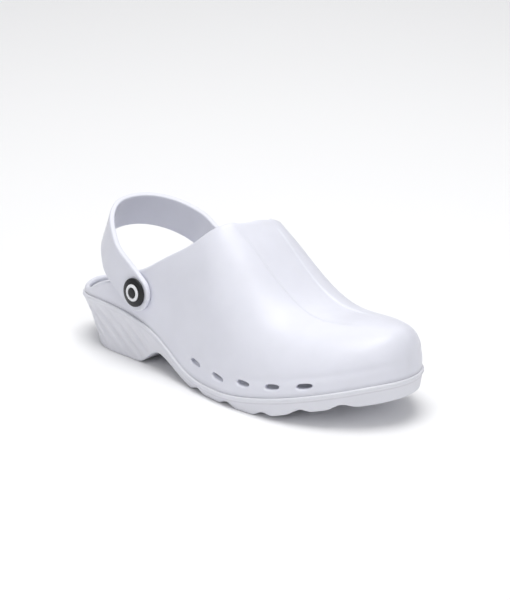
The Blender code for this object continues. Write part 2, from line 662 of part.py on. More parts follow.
def cut(piece, cutter):
    """Cut the cutter out of the piece and keep it as a guide."""
    modifier = piece.modifiers.new("cut by " + cutter.name, "BOOLEAN")
    modifier.operation = "DIFFERENCE"
    modifier.solver = "EXACT"
    modifier.object = cutter
    cutter.hide_render = True
    cutter.display_type = "WIRE"


def stand_on_origin():
    """Move all objects so that the middle of the whole box stands on the origin."""
    graph = bpy.context.evaluated_depsgraph_get()
    corners = []
    for piece in bpy.data.objects:
        if not piece.hide_render:
            seen = piece.evaluated_get(graph)
            corners += [seen.matrix_world @ Vector(c) for c in seen.bound_box]
    low = [min(c[i] for c in corners) for i in range(3)]
    high = [max(c[i] for c in corners) for i in range(3)]
    for piece in bpy.data.objects:
        piece.location -= Vector(((low[0] + high[0]) / 2, (low[1] + high[1]) / 2, low[2]))


def main():
    for piece in list(bpy.data.objects):
        bpy.data.objects.remove(piece, do_unlink=True)
    white = plastic("white moulding", (0.80, 0.81, 0.86), 0.38)
    sole_white = plastic("white sole", (0.76, 0.77, 0.80), 0.50)
    footbed = plastic("footbed", (0.74, 0.75, 0.80), 0.60)
    black = plastic("black button", (0.012, 0.012, 0.014), 0.30)
    upper = make_upper(white)
    make_sole(sole_white)
    make_insole(footbed)
    pivots = {side: Pivot(side) for side in (OUTER, INNER)}
    strap = make_strap(pivots, white)
    cut(upper, make_slot_cutter())
    for side, pivot in pivots.items():
        make_buttons(pivot, black, white)
        hole, deep, proud = SHANK_RADIUS + GAP, -8 * WALL, 5 * WALL
        bar = [(0.0, deep), (hole, deep), (hole, proud), (0.0, proud)]
        bore = pivot.turned("bore_lateral" if side == OUTER else "bore_medial", bar, None)
        cut(upper, bore)
        cut(strap, bore)
    stand_on_origin()


main()
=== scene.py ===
"""Moulded clog for the right foot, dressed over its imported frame, laid out as a Blender add-on.

Metres, +X to the toe, +Y to the inner side of the foot, +Z up. The tables hold shares of named sizes.
"way" is the share of the way along either side of the ledge, from the back of the heel to the toe tip.
"""

import math

import bmesh
import bpy
import numpy as np
from bpy.props import FloatProperty, FloatVectorProperty, IntProperty, PointerProperty
from mathutils import Matrix, Vector


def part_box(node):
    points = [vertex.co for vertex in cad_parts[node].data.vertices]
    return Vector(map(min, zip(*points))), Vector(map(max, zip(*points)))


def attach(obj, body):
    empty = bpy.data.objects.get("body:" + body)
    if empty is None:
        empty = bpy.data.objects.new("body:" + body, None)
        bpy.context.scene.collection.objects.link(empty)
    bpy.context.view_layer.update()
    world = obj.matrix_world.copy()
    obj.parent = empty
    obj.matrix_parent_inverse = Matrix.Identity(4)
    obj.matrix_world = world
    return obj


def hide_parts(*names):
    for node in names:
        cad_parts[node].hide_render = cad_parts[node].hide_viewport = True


bl_info = {
    "name": "Moulded clog",
    "version": (1, 0, 0),
    "blender": (4, 5, 0),
    "location": "3D View > Sidebar > Clog",
    "description": "Builds the clog's upper, sole, footbed, strap and buttons over the packed frame",
    "category": "Add Mesh",
}

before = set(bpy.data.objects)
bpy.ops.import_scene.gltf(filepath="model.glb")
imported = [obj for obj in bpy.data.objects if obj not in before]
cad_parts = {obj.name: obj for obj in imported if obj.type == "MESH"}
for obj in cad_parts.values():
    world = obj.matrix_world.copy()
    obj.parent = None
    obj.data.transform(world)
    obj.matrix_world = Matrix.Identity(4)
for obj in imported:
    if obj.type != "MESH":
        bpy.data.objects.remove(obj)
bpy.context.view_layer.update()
SOLE_LOW, SOLE_HIGH = (Vector(corner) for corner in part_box("sole"))

OUTER, INNER = -1, 1                # sides of the foot along Y
GAP = 0.0003                        # between pieces that meet
SAMPLES = 2400                      # points along a line that is walked by its length

# Ledge seen from above, round from the back of the heel by the outer side:
# (share of the length, share of the ball's width)
OUTLINE = (
    (0.000, 0.000), (0.026, -0.170), (0.100, -0.300), (0.225, -0.350), (0.375, -0.395),
    (0.532, -0.500), (0.669, -0.540), (0.795, -0.510), (0.900, -0.390), (0.971, -0.215),
    (1.000, 0.000), (0.976, 0.205), (0.903, 0.370), (0.795, 0.450), (0.669, 0.470),
    (0.513, 0.400), (0.375, 0.335), (0.225, 0.325), (0.100, 0.295), (0.026, 0.170),
)
TOE_ROW = 10

# Ledge from the side: (share of the length, share of heel step - ball step, share of toe step - ball step)
LEDGE_RISE = (
    (0.000, 0.83, 0.00), (0.040, 0.89, 0.00), (0.100, 0.97, 0.00), (0.165, 1.00, 0.00),
    (0.225, 0.95, 0.00), (0.275, 0.86, 0.00), (0.320, 0.73, 0.00), (0.360, 0.56, 0.00),
    (0.400, 0.36, 0.00), (0.450, 0.14, 0.00),
    (0.500, 0.03, 0.00), (0.550, 0.00, 0.00), (0.600, 0.00, 0.00), (0.690, 0.00, 0.14),
    (0.760, 0.00, 0.32), (0.825, 0.00, 0.51), (0.880, 0.00, 0.68), (0.925, 0.00, 0.82),
    (0.965, 0.00, 0.94), (1.000, 0.00, 1.00),
)
# Underside from the side: (share of the length, share of the arch's rise, share of the toe spring)
UNDERSIDE = (
    (0.000, 0.00, 0.00), (0.258, 0.00, 0.00), (0.280, 0.20, 0.00), (0.305, 0.65, 0.00),
    (0.335, 1.00, 0.00), (0.355, 0.95, 0.00), (0.390, 0.66, 0.00), (0.430, 0.30, 0.00),
    (0.470, 0.05, 0.00), (0.500, 0.00, 0.00), (0.690, 0.00, 0.00), (0.730, 0.00, 0.06),
    (0.790, 0.00, 0.31), (0.853, 0.00, 0.57), (0.908, 0.00, 0.76), (0.956, 0.00, 0.88),
    (1.000, 0.00, 1.00),
)
# Inward draw of the sole's side from ledge to floor: (share of the length, share of the heel's taper)
SIDE_DRAW = (
    (0.000, 2.70), (0.040, 2.20), (0.100, 1.30), (0.200, 0.95), (0.320, 0.70), (0.500, 0.45), (1.000, 0.40),
)
HEEL_TAPER = 0.0055                            # the draw that the table holds shares of
GROOVES = (0.505, 0.615, 0.725, 0.820, 0.908)  # grooves between the lugs, shares of the length
GROOVE_HALF = 0.0085                           # half of a groove's length
FLUTE_END = (0.26, 0.34)                       # the flutes die out between these shares of the length
FLUTE_PITCH = 0.0140                           # from one flute to the next along the heel
FLUTE_LEAN = 1.2                               # how far a flute runs forward for each unit down
BEAD = 0.0030                                  # height of the bead under the ledge

# Upper across the foot: (way, arch height as share of the instep's height, fullness of the sides,
# apex shift to the inner side as share of the ball's width)
SECTIONS = (
    (0.000, 0.69, 2.3, 0.000), (0.170, 0.89, 2.4, 0.000), (0.320, 1.09, 2.5, 0.020),
    (0.430, 1.13, 2.6, 0.060), (0.480, 1.110, 2.8, 0.068), (0.521, 1.010, 2.8, 0.070),
    (0.550, 0.925, 2.7, 0.072), (0.590, 0.783, 2.6, 0.075), (0.630, 0.648, 2.5, 0.076),
    (0.687, 0.507, 2.5, 0.070), (0.746, 0.436, 2.5, 0.062), (0.804, 0.400, 2.4, 0.054),
    (0.863, 0.358, 2.3, 0.045), (0.931, 0.264, 2.1, 0.025), (1.000, 0.000, 2.0, 0.000),
)
# Collar edge above the ledge, up to where it leaves the quarter and arcs over to the ridge:
# (way, share of the instep's height on the outer side, the same, inner side)
TOPLINE = (
    (0.000, 0.027, 0.027), (0.050, 0.018, 0.018), (0.090, 0.020, 0.020), (0.130, 0.045, 0.045),
    (0.165, 0.097, 0.097), (0.215, 0.163, 0.163), (0.265, 0.276, 0.276), (0.316, 0.411, 0.405),
    (0.368, 0.602, 0.580), (0.425, 0.823, 0.775), (0.455, 0.948, 0.862),
)
QUARTER_WAY = 0.455
COLLAR_WAY = 0.508
COLLAR_SKEW = 0.065                            # the collar's front runs forward on the inner side
COLLAR_FOOT_WAY = 0.63                         # foot of the mesh row that ends at the collar's front
# Vents: (way, share of the first vent's lift)
VENTS = ((0.486, 1.15), (0.561, 0.93), (0.632, 0.90), (0.706, 0.74), (0.778, 0.66))
VENT_LIFT = 0.0090                             # the lift above the ledge that the table holds shares of
VENT_MOUTH = 0.0009                            # how far a vent's rounded mouth flares
VENT_SQUARENESS = 0.80                         # 1 is an ellipse, less is nearer to a rectangle
BAND_FADE = (0.700, 0.830)                     # the sunk band dies out between these ways
BAND_STEP = 0.0024                             # width of the step down into the band
CREASE_START = (0.40, 0.50)                    # the soft crease begins between these ways
CREASE_SPREAD = 0.0022                         # how far the crease spreads up and down
HEEL_SEAT_START = (0.00, 0.05)                 # the heel's extra hollow begins between these ways
HEEL_SEAT_FADE = (0.15, 0.40)
SEAT_DEPTH = 0.0035                            # the footbed's seat lies this far below the ledge
HEEL_HOLLOW = 0.0025                           # further depth in the middle of the heel's seat
INSOLE_THICKNESS = 0.0040
INSOLE_CLEAR, INSOLE_TOE_CLEAR = 0.0006, 0.0045  # from the wall to the footbed's edge, and at the toe
INSOLE_TOE_FADE = (0.75, 1.00)                 # the clearance grows to the toe's between these ways
# Pivots: side, way, lift above the ledge
PIVOTS = {OUTER: (0.294, 0.0190), INNER: (0.335, 0.0340)}
# Strap: slope round the back, reach from the outer pivot, and for each arm its slope at the pivot,
# roundness seen from above, outward bow and the shares of its length where it leaves the quarter
STRAP_BACK = math.radians(20.0)
STRAP_REACH = 0.0569
STRAP_ARMS = {OUTER: (math.radians(36.2), 1.60, 0.0037, (0.24, 0.70)),
              INNER: (math.radians(27.8), 1.89, 0.0053, (0.14, 0.42))}
SHANK_RADIUS = 0.0040                          # of a button, in a bore that is wider by the gap
BUTTON_BACK_RADIUS = 0.0080
BUTTON_CORNER = 0.0006
BORE_ENDS = (-0.028, 0.0175)                   # along the pivot's axis, from its point on the wall


class ClogSizes(bpy.types.PropertyGroup):
    """Sizes that a user would change."""
    length: FloatProperty(name="Length", description="Back of the heel to the toe tip along the ledge",
                          default=SOLE_HIGH.x - SOLE_LOW.x, min=0.2, max=0.32, unit="LENGTH")
    ball_width: FloatProperty(name="Ball width", description="Width of the ledge at the ball of the foot",
                              default=0.102, min=0.08, max=0.13, unit="LENGTH")
    instep_height: FloatProperty(name="Instep height", description="Front of the collar above the ledge",
                                 default=0.0897, min=0.06, max=0.12, unit="LENGTH")
    heel_step: FloatProperty(name="Heel step", description="Ledge above the floor under the heel",
                             default=0.0350, min=0.01, max=0.06, unit="LENGTH")
    ball_step: FloatProperty(name="Ball step", description="Ledge above the floor under the ball",
                             default=0.0080, min=0.004, max=0.03, unit="LENGTH")
    toe_step: FloatProperty(name="Toe step", description="Ledge above the floor at the toe tip",
                            default=0.0300, min=0.01, max=0.05, unit="LENGTH")
    toe_spring: FloatProperty(name="Toe spring", description="Underside above the floor at the toe tip",
                              default=0.0180, min=0.0, max=0.04, unit="LENGTH")
    arch_rise: FloatProperty(name="Arch rise", description="Underside above the floor at its arch",
                             default=0.0115, min=0.0, max=0.03, unit="LENGTH")
    wall: FloatProperty(name="Wall", description="Thickness of the upper's moulded wall",
                        default=0.0035, min=0.002, max=0.006, unit="LENGTH")
    ledge: FloatProperty(name="Ledge", description="How far the sole stands proud of the upper",
                         default=0.0013, min=0.0, max=0.004, unit="LENGTH")
    band_width: FloatProperty(name="Band width", description="Sunk band down the middle of the vamp",
                              default=0.0290, min=0.01, max=0.05, unit="LENGTH")
    band_depth: FloatProperty(name="Band depth", description="How deep the band is sunk",
                              default=0.0009, min=0.0, max=0.003, unit="LENGTH")
    crease_lift: FloatProperty(name="Crease lift", description="Soft crease round the vamp above the ledge",
                               default=0.0105, min=0.004, max=0.03, unit="LENGTH")
    crease_depth: FloatProperty(name="Crease depth", description="Depth of the soft crease",
                                default=0.0004, min=0.0, max=0.002, unit="LENGTH")
    flute_depth: FloatProperty(name="Flute depth", description="Depth of the flutes on the heel's sides",
                               default=0.0016, min=0.0, max=0.003, unit="LENGTH")
    lug_depth: FloatProperty(name="Lug groove depth", description="Depth of the grooves between the lugs",
                             default=0.0024, min=0.0, max=0.005, unit="LENGTH")
    vent_length: FloatProperty(name="Vent length", description="Length of a vent",
                               default=0.0105, min=0.004, max=0.02, unit="LENGTH")
    vent_height: FloatProperty(name="Vent height", description="Height of a vent",
                               default=0.0035, min=0.002, max=0.008, unit="LENGTH")
    strap_width: FloatProperty(name="Strap width", description="Width of the heel strap",
                               default=0.0235, min=0.01, max=0.04, unit="LENGTH")
    strap_thickness: FloatProperty(name="Strap thickness", description="Thickness of the heel strap",
                                   default=0.0034, min=0.002, max=0.006, unit="LENGTH")
    cap_radius: FloatProperty(name="Button radius", description="Radius of a button's cap",
                              default=0.0094, min=0.005, max=0.015, unit="LENGTH")
    detail: IntProperty(name="Detail", description="Rows of mesh per quarter of the upper",
                        default=64, min=16, max=128)


class ClogColours(bpy.types.PropertyGroup):
    """Colours of the moulded pieces."""
    upper: FloatVectorProperty(name="Upper", description="Colour of the moulded upper", subtype="COLOR",
                               default=(0.785, 0.793, 0.868), min=0.0, max=1.0)
    sole: FloatVectorProperty(name="Sole", description="Colour of the sole", subtype="COLOR",
                              default=(0.785, 0.790, 0.845), min=0.0, max=1.0)
    footbed: FloatVectorProperty(name="Footbed", description="Colour of the footbed", subtype="COLOR",
                                 default=(0.740, 0.745, 0.790), min=0.0, max=1.0)
    strap: FloatVectorProperty(name="Strap", description="Colour of the heel strap", subtype="COLOR",
                               default=(0.775, 0.783, 0.858), min=0.0, max=1.0)
    button: FloatVectorProperty(name="Button", description="Colour of the button caps", subtype="COLOR",
                                default=(0.012, 0.012, 0.014), min=0.0, max=1.0)
    inlay: FloatVectorProperty(name="Inlay", description="Colour of the ring set in a cap", subtype="COLOR",
                               default=(0.820, 0.825, 0.850), min=0.0, max=1.0)


def sizes():
    """The scene's sizes."""
    return bpy.context.scene.clog_sizes


def colours():
    """The scene's colours."""
    return bpy.context.scene.clog_colours


# Curves

def smooth_curve(places, values):
    """Natural cubic through rows of values at rising places, held at its ends."""
    x = np.asarray(places, float)
    y = np.asarray(values, float).reshape(len(x), -1)
    step = np.diff(x)
    count = len(x)
    lhs = np.eye(count)
    rhs = np.zeros_like(y)
    for i in range(1, count - 1):
        lhs[i, i - 1:i + 2] = step[i - 1], 2 * (step[i - 1] + step[i]), step[i]
        rhs[i] = 6 * ((y[i + 1] - y[i]) / step[i] - (y[i] - y[i - 1]) / step[i - 1])
    bend = np.linalg.solve(lhs, rhs)

    def at(place):
        s = np.clip(np.atleast_1d(np.asarray(place, float)), x[0], x[-1])
        k = np.clip(np.searchsorted(x, s, side="right") - 1, 0, count - 2)
        h = step[k][:, None]
        a = (x[k + 1] - s)[:, None] / h
        b = 1.0 - a
        line = a * y[k] + b * y[k + 1]
        return line + ((a ** 3 - a) * bend[k] + (b ** 3 - b) * bend[k + 1]) * h * h / 6

    return at


def table_curve(rows):
    """Curve through a table whose first column is the place."""
    return smooth_curve([row[0] for row in rows], [row[1:] for row in rows])


def ease(value, start, end):
    """0 before start, 1 after end, smooth between."""
    t = np.clip((value - start) / (end - start), 0.0, 1.0)
    return t * t * (3 - 2 * t)


ledge_shares = table_curve(LEDGE_RISE)
underside_shares = table_curve(UNDERSIDE)
draw_share = table_curve(SIDE_DRAW)
section_shape = table_curve(SECTIONS)
topline_share = table_curve(TOPLINE)
CURVE_CACHE = {}


def side_lines():
    """The ledge's two sides, each a function of way that gives points (x, y)."""
    key = (sizes().length, sizes().ball_width)
    if key in CURVE_CACHE:
        return CURVE_CACHE[key]
    points = np.array(OUTLINE) * key
    lap = 3
    loop = np.vstack([points[-lap:], points, points[:lap + 1]])
    chord = np.concatenate([[0.0], np.cumsum(np.linalg.norm(np.diff(loop, axis=0), axis=1))])
    curve = smooth_curve(chord, loop)
    toe = chord[lap + TOE_ROW]

    def side(start):
        line = curve(np.linspace(start, toe, SAMPLES))
        length = np.concatenate([[0.0], np.cumsum(np.linalg.norm(np.diff(line, axis=0), axis=1))])
        share = length / length[-1]
        return lambda way: np.column_stack([np.interp(way, share, line[:, k]) for k in (0, 1)])

    CURVE_CACHE[key] = {OUTER: side(chord[lap]), INNER: side(chord[lap + len(points)])}
    return CURVE_CACHE[key]


def ledge_height(x):
    """Height of the ledge above the floor."""
    s = sizes()
    heel, toe = ledge_shares(x / s.length).T
    return s.ball_step + (s.heel_step - s.ball_step) * heel + (s.toe_step - s.ball_step) * toe


def edge(side, way, inset):
    """Points (x, y) of the ledge line, moved inward in plan by inset."""
    way = np.atleast_1d(way)
    line = side_lines()[side]
    nudge = 2e-3
    along = line(np.minimum(way + nudge, 1.0)) - line(np.maximum(way - nudge, 0.0))
    ends = np.column_stack([np.zeros(len(way)), np.where(way < 0.5, 1.0, -1.0) * side])
    near_end = np.clip(np.minimum(way, 1 - way) / nudge, 0.0, 1.0)[:, None]
    along /= np.linalg.norm(along, axis=1)[:, None]
    along = along * near_end + ends * (1 - near_end)
    along /= np.linalg.norm(along, axis=1)[:, None]
    outward = side * np.column_stack([-along[:, 1], along[:, 0]])
    return line(way) - outward * np.reshape(inset, (-1, 1))


def arch_height(way):
    """Height of the upper's arch over the ledge."""
    return sizes().instep_height * section_shape(way)[:, 0]


def band_rise(half_width):
    """Rise at which the upper lies half_width from its ridge, at the ball."""
    full = section_shape(BAND_FADE[0])[0, 1]
    return math.acos((half_width / (sizes().ball_width / 2)) ** (full / 2)) * 2 / math.pi


def band_edge():
    """Rises where the sunk band's step begins and ends."""
    s = sizes()
    half = s.band_width / 2
    return band_rise(half + BAND_STEP / 2), band_rise(half - BAND_STEP / 2)


def upper_surface(side, way, rise, dressed=True):
    """Outer face of the upper. rise runs from 0 at the foot line to 1 on the ridge."""
    s = sizes()
    way, rise = np.broadcast_arrays(np.atleast_1d(way), rise)
    shape = way.shape
    way, rise = way.ravel(), rise.ravel()
    height, full, shift = section_shape(way).T
    outer = edge(OUTER, way, s.ledge)
    inner = edge(INNER, way, s.ledge)
    foot = outer if side == OUTER else inner
    angle = rise * math.pi / 2
    half = np.cos(angle) ** (2 / full)
    up = np.sin(angle) ** (2 / full)
    middle = (outer + inner) / 2
    plan = middle + (foot - middle) * half[:, None]
    plan[:, 1] += shift * s.ball_width * up
    low = ledge_height(foot[:, 0]) + GAP
    centre_low = (ledge_height(outer[:, 0]) + ledge_height(inner[:, 0])) / 2 + GAP
    climb = s.instep_height * height * up
    z = low * half + centre_low * (1 - half) + climb
    if dressed:
        sunk = ease(rise, *band_edge()) * (1 - ease(way, *BAND_FADE))
        z -= s.band_depth * sunk
        # soft crease above the ledge, from the waist round the toe
        near = np.exp(-((climb - s.crease_lift) / CREASE_SPREAD) ** 2)
        inward = s.crease_depth * near * ease(way, *CREASE_START)
        to_middle = middle - foot
        to_middle /= np.maximum(np.linalg.norm(to_middle, axis=1), 1e-6)[:, None]
        plan += to_middle * inward[:, None]
    return np.column_stack([plan, z]).reshape(shape + (3,))


def topline_rise(side, way):
    """Rise of the collar edge along the quarter."""
    share = topline_share(way)[:, 0 if side == OUTER else 1]
    full = section_shape(way)[:, 1]
    return np.arcsin((sizes().instep_height * share / arch_height(way)) ** (full / 2)) * 2 / math.pi


def rise_at(way, lift):
    """Rise at which the upper stands lift above the ledge."""
    up = lift / arch_height([way])[0]
    return math.asin(up ** (section_shape(way)[0, 1] / 2)) * 2 / math.pi


def collar_path(side, count):
    """Ways and rises of points spaced evenly along the collar edge, back of the heel to the ridge."""
    quarter = np.linspace(0, QUARTER_WAY, SAMPLES)
    quarter_rise = topline_rise(side, quarter)
    aside = np.cos(quarter_rise * math.pi / 2) ** (2 / section_shape(quarter)[:, 1])
    slope = (aside[-2] - aside[-1]) / (quarter[-1] - quarter[-2])
    reach = COLLAR_WAY - QUARTER_WAY
    left = np.linspace(1, 0, SAMPLES)[1:]
    arc = COLLAR_WAY - reach * left ** (aside[-1] / (slope * reach))
    arc += side * COLLAR_SKEW * (left * (1 - left)) ** 2
    arc_rise = np.arccos((aside[-1] * left) ** (section_shape(arc)[:, 1] / 2)) * 2 / math.pi
    way, rise = np.append(quarter, arc), np.append(quarter_rise, arc_rise)
    line = upper_surface(side, way, rise, dressed=False)
    length = np.concatenate([[0.0], np.cumsum(np.linalg.norm(np.diff(line, axis=0), axis=1))])
    even = np.linspace(0, length[-1], count + 1)
    return np.interp(even, length, way), np.interp(even, length, rise)


# Meshes

def add_grid(mesh, points):
    """Quads over a grid of points; returns the grid of vertices."""
    verts = [[mesh.verts.new(p) for p in row] for row in points]
    for low, high in zip(verts, verts[1:]):
        for i in range(len(low) - 1):
            mesh.faces.new((low[i], low[i + 1], high[i + 1], high[i]))
    return verts


def weld(mesh):
    """Join vertices that lie on one place and turn all faces outward."""
    bmesh.ops.remove_doubles(mesh, verts=mesh.verts, dist=2e-6)
    bmesh.ops.recalc_face_normals(mesh, faces=mesh.faces)


def thicken(mesh, wall, on_foot, lip_steps=8):
    """Turn an open surface into a wall: inner skin, flat foot rim and a round lip elsewhere."""
    mesh.normal_update()
    skin = list(mesh.verts)
    faces = list(mesh.faces)
    rims = [e for e in mesh.edges if e.is_boundary]
    normal = {}
    for v in skin:
        n = v.normal.copy()
        if on_foot(v.co):
            n.z = 0.0
        normal[v] = n.normalized()
    inside = {v: mesh.verts.new(v.co - normal[v] * wall) for v in skin}
    away = {}
    for e in rims:
        a, b = e.verts
        middle = e.link_faces[0].calc_center_median()
        for v in (a, b):
            out = (b.co - a.co).cross(normal[v])
            out *= 1 if out.dot(v.co - middle) > 0 else -1
            away[v] = away.get(v, Vector()) + out.normalized()
    lip = {}
    for v in away:
        if on_foot(v.co):
            continue
        centre = v.co - normal[v] * wall / 2
        out = away[v].normalized()
        turns = [math.pi * k / lip_steps for k in range(1, lip_steps)]
        lip[v] = [mesh.verts.new(centre + (normal[v] * math.cos(a) + out * math.sin(a)) * wall / 2)
                  for a in turns]
    for f in faces:
        mesh.faces.new([inside[v] for v in reversed(f.verts)])
    for e in rims:
        a, b = e.verts
        strip = [[v, *lip.get(v, []), inside[v]] for v in (a, b)]
        if len(strip[0]) != len(strip[1]):
            short = 0 if len(strip[0]) < len(strip[1]) else 1
            long = strip[1 - short]
            for i in range(len(long) - 1):
                other = strip[short][0] if i < len(long) // 2 else strip[short][-1]
                mesh.faces.new((long[i], long[i + 1], other))
            mesh.faces.new((long[len(long) // 2], strip[short][0], strip[short][-1]))
            continue
        for i in range(len(strip[0]) - 1):
            mesh.faces.new((strip[0][i], strip[0][i + 1], strip[1][i + 1], strip[1][i]))


def to_world(piece):
    """Put a piece that is made from the heel's back onto the frame's sole."""
    s = sizes()
    width_low = min(line(np.linspace(0, 1, SAMPLES))[:, 1].min() for line in side_lines().values())
    shift = Vector((SOLE_LOW.x, SOLE_LOW.y - width_low, 0.0))
    piece.data.transform(Matrix.Translation(shift))


def finish_piece(name, mesh, material, nodes, sharp=40.0):
    """Object from a bmesh, in the frame's place, with its material and the nodes it stands for."""
    data = bpy.data.meshes.new(name)
    mesh.to_mesh(data)
    mesh.free()
    data.shade_smooth()
    data.set_sharp_from_angle(angle=math.radians(sharp))
    piece = bpy.data.objects.new(name, data)
    bpy.context.scene.collection.objects.link(piece)
    data.materials.append(material)
    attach(piece, "root")
    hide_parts(*nodes)
    return piece


# Materials

def new_material(name):
    """A new node material; returns it, its node tree and its shader."""
    material = bpy.data.materials.new(name)
    material.use_nodes = True
    tree = material.node_tree
    return material, tree, tree.nodes["Principled BSDF"]


def add_node(tree, kind, inputs=(), **settings):
    """One node with its settings and socket values."""
    node = tree.nodes.new(kind)
    for key, value in settings.items():
        setattr(node, key, value)
    for key, value in dict(inputs).items():
        node.inputs[key].default_value = value
    return node


def noise(tree, coords, scale, detail=3.0, roughness=0.55):
    """Output of a noise texture at coords."""
    node = add_node(tree, "ShaderNodeTexNoise", {"Scale": scale, "Detail": detail, "Roughness": roughness})
    tree.links.new(coords, node.inputs["Vector"])
    return node.outputs["Fac"]


def spread(tree, value, low, high, start=0.3, end=0.7):
    """Value from start..end mapped onto low..high."""
    node = add_node(tree, "ShaderNodeMapRange", {"From Min": start, "From Max": end,
                                                 "To Min": low, "To Max": high})
    tree.links.new(value, node.inputs["Value"])
    return node.outputs["Result"]


def bump(tree, height, distance, strength, below=None):
    """Normal that height bends, on top of the normal below."""
    node = add_node(tree, "ShaderNodeBump", {"Distance": distance, "Strength": strength})
    tree.links.new(height, node.inputs["Height"])
    if below:
        tree.links.new(below, node.inputs["Normal"])
    return node.outputs["Normal"]


def tinted(tree, colour, value, change, shade=None):
    """Base colour that value moves a little towards change, with painted shade: darkened where the shade
    layer is high.
    """
    mix = add_node(tree, "ShaderNodeMix", data_type="RGBA")
    mix.inputs[6].default_value = (*colour, 1.0)
    mix.inputs[7].default_value = (*change, 1.0)
    tree.links.new(value, mix.inputs[0])
    out = mix.outputs[2]
    if shade:
        # painted shade: the base colour is mixed towards 0.78 of itself where the shade layer is high
        painted_shade_mix = add_node(tree, "ShaderNodeMix", data_type="RGBA")
        painted_shade_mix.inputs[7].default_value = (*[c * 0.78 for c in colour], 1.0)
        tree.links.new(out, painted_shade_mix.inputs[6])
        layer = add_node(tree, "ShaderNodeAttribute", attribute_name=shade)
        tree.links.new(layer.outputs["Fac"], painted_shade_mix.inputs[0])
        out = painted_shade_mix.outputs[2]
    return out


def moulded_foam(name, colour, gloss, grain, shade=None, coat=0.0):
    """Moulded foam plastic: even colour, fine skin grain, slow waves of the mould and uneven gloss, with
    painted shade where a shade layer is given.
    """
    material, tree, shader = new_material(name)
    coords = add_node(tree, "ShaderNodeTexCoord").outputs["Object"]
    patches = noise(tree, coords, 55.0, 3.0)
    base = tinted(tree, colour, spread(tree, patches, 0.0, 1.0), [c * 0.965 for c in colour], shade)
    tree.links.new(base, shader.inputs["Base Color"])
    fine = noise(tree, coords, 2400.0, 2.0)
    tree.links.new(spread(tree, noise(tree, coords, 240.0, 4.0), *gloss), shader.inputs["Roughness"])
    waves = bump(tree, noise(tree, coords, 38.0, 1.0), 0.00025, 0.35)
    pores = bump(tree, fine, grain, 0.5, waves)
    tree.links.new(pores, shader.inputs["Normal"])
    shader.inputs["IOR"].default_value = 1.47
    shader.inputs["Subsurface Weight"].default_value = 0.06
    shader.inputs["Subsurface Radius"].default_value = (0.004, 0.004, 0.005)
    shader.inputs["Subsurface Scale"].default_value = 1.0
    shader.inputs["Coat Weight"].default_value = coat
    shader.inputs["Coat Roughness"].default_value = 0.22
    return material


def footbed_foam(name, colour):
    """Footbed: matte foam with a fine pebbled face."""
    material, tree, shader = new_material(name)
    coords = add_node(tree, "ShaderNodeTexCoord").outputs["Object"]
    pebbles = add_node(tree, "ShaderNodeTexVoronoi", {"Scale": 420.0, "Smoothness": 0.7}, feature="SMOOTH_F1")
    tree.links.new(coords, pebbles.inputs["Vector"])
    base = tinted(tree, colour, spread(tree, pebbles.outputs["Distance"], 0.0, 1.0, 0.1, 0.7),
                  [c * 0.94 for c in colour])
    tree.links.new(base, shader.inputs["Base Color"])
    face = bump(tree, pebbles.outputs["Distance"], 0.00035, 0.5)
    tree.links.new(bump(tree, noise(tree, coords, 2000.0), 0.0001, 0.4, face), shader.inputs["Normal"])
    tree.links.new(spread(tree, noise(tree, coords, 160.0), 0.55, 0.72), shader.inputs["Roughness"])
    return material


def gloss_plastic(name, colour, gloss):
    """Hard glossy plastic with faint scuffs in its gloss."""
    material, tree, shader = new_material(name)
    coords = add_node(tree, "ShaderNodeTexCoord").outputs["Object"]
    scuffs = noise(tree, coords, 900.0, 5.0)
    base = tinted(tree, colour, spread(tree, scuffs, 0.0, 1.0), [min(c * 1.15 + 0.004, 1.0) for c in colour])
    tree.links.new(base, shader.inputs["Base Color"])
    tree.links.new(spread(tree, scuffs, gloss, gloss + 0.12), shader.inputs["Roughness"])
    tree.links.new(bump(tree, noise(tree, coords, 1500.0), 0.00002, 0.3), shader.inputs["Normal"])
    shader.inputs["Specular IOR Level"].default_value = 0.35
    return material


def above_ledge(points):
    """Height of points above the ledge, before to_world."""
    return points[:, 2] - ledge_height(points[:, 0])


def shade_layer(piece, name, value):
    """Store value(point) for each vertex, for a material to read as a painted shade mask."""
    data = piece.data
    count = len(data.vertices)
    points = np.empty(count * 3)
    data.vertices.foreach_get("co", points)
    layer = data.attributes.new(name, "FLOAT", "POINT")
    layer.data.foreach_set("value", np.clip(value(points.reshape(-1, 3)), 0.0, 1.0).astype(np.float32))


# Upper

def upper_rises():
    """Columns of the upper: close by the foot line and at the band's step."""
    start, end = band_edge()
    t = np.linspace(0, 1, 47)
    return np.concatenate([start * t * (0.5 + 0.5 * t), np.linspace(start, end, 7)[1:],
                           np.linspace(end, 1.0, 7)[1:]])


def half_upper(side, rises):
    """Grid of points over one half of the upper: rows go round the shoe, columns go up."""
    collar_steps = int(sizes().detail * 1.4)
    vamp_steps = int(sizes().detail * 1.2)
    left = (1 - np.linspace(0, 1, vamp_steps + 1)[1:]) ** 1.15
    collar_ways, collar_rises = collar_path(side, collar_steps)
    top_way = np.concatenate([collar_ways, 1 - left * (1 - COLLAR_WAY)])
    top_rise = np.concatenate([collar_rises, np.ones(vamp_steps)])
    foot_way = np.concatenate([np.linspace(0, COLLAR_FOOT_WAY, collar_steps + 1),
                               1 - left * (1 - COLLAR_FOOT_WAY)])
    way = foot_way[:, None] + (top_way - foot_way)[:, None] * rises[None, :] ** 1.5
    rise = top_rise[:, None] * rises[None, :]
    return upper_surface(side, way, rise)


